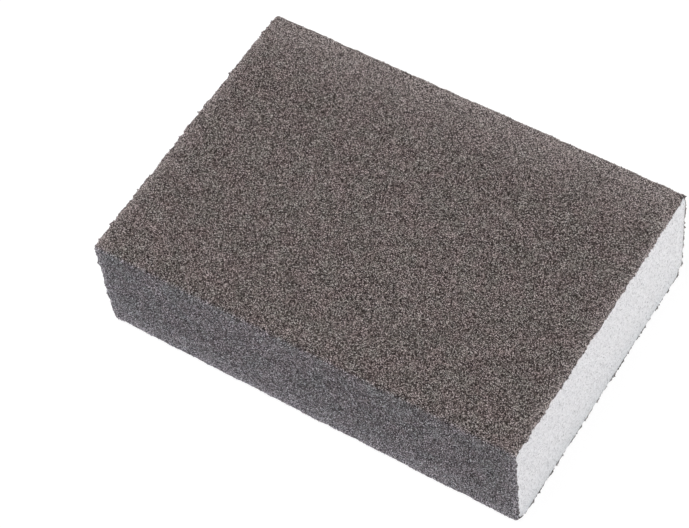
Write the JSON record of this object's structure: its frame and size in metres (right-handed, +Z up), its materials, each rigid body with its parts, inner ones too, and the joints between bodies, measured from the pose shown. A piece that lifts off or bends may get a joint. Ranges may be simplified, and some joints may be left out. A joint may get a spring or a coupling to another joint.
{
  "type": "sanding sponge",
  "caption": "Rectangular block of fine-celled foam for sanding by hand, with abrasive grain bonded round its broad faces and long sides and bare foam at its sawn ends.",
  "frame": {"origin": "middle of the abrasive face that the block lies on", "axes": "+X along the length from sawn end to sawn end, +Y across the width, +Z up through the height"},
  "size_m": [0.1, 0.07, 0.028],
  "materials": {
    "foam": "pale grey fine-celled foam, sawn and bare",
    "abrasive": "dark brown-grey grain set in resin, rough, with small glints"
  },
  "bodies": {
    "root": {"foam_core": "foam", "abrasive_coat": "abrasive"}
  },
  "joints": []
}
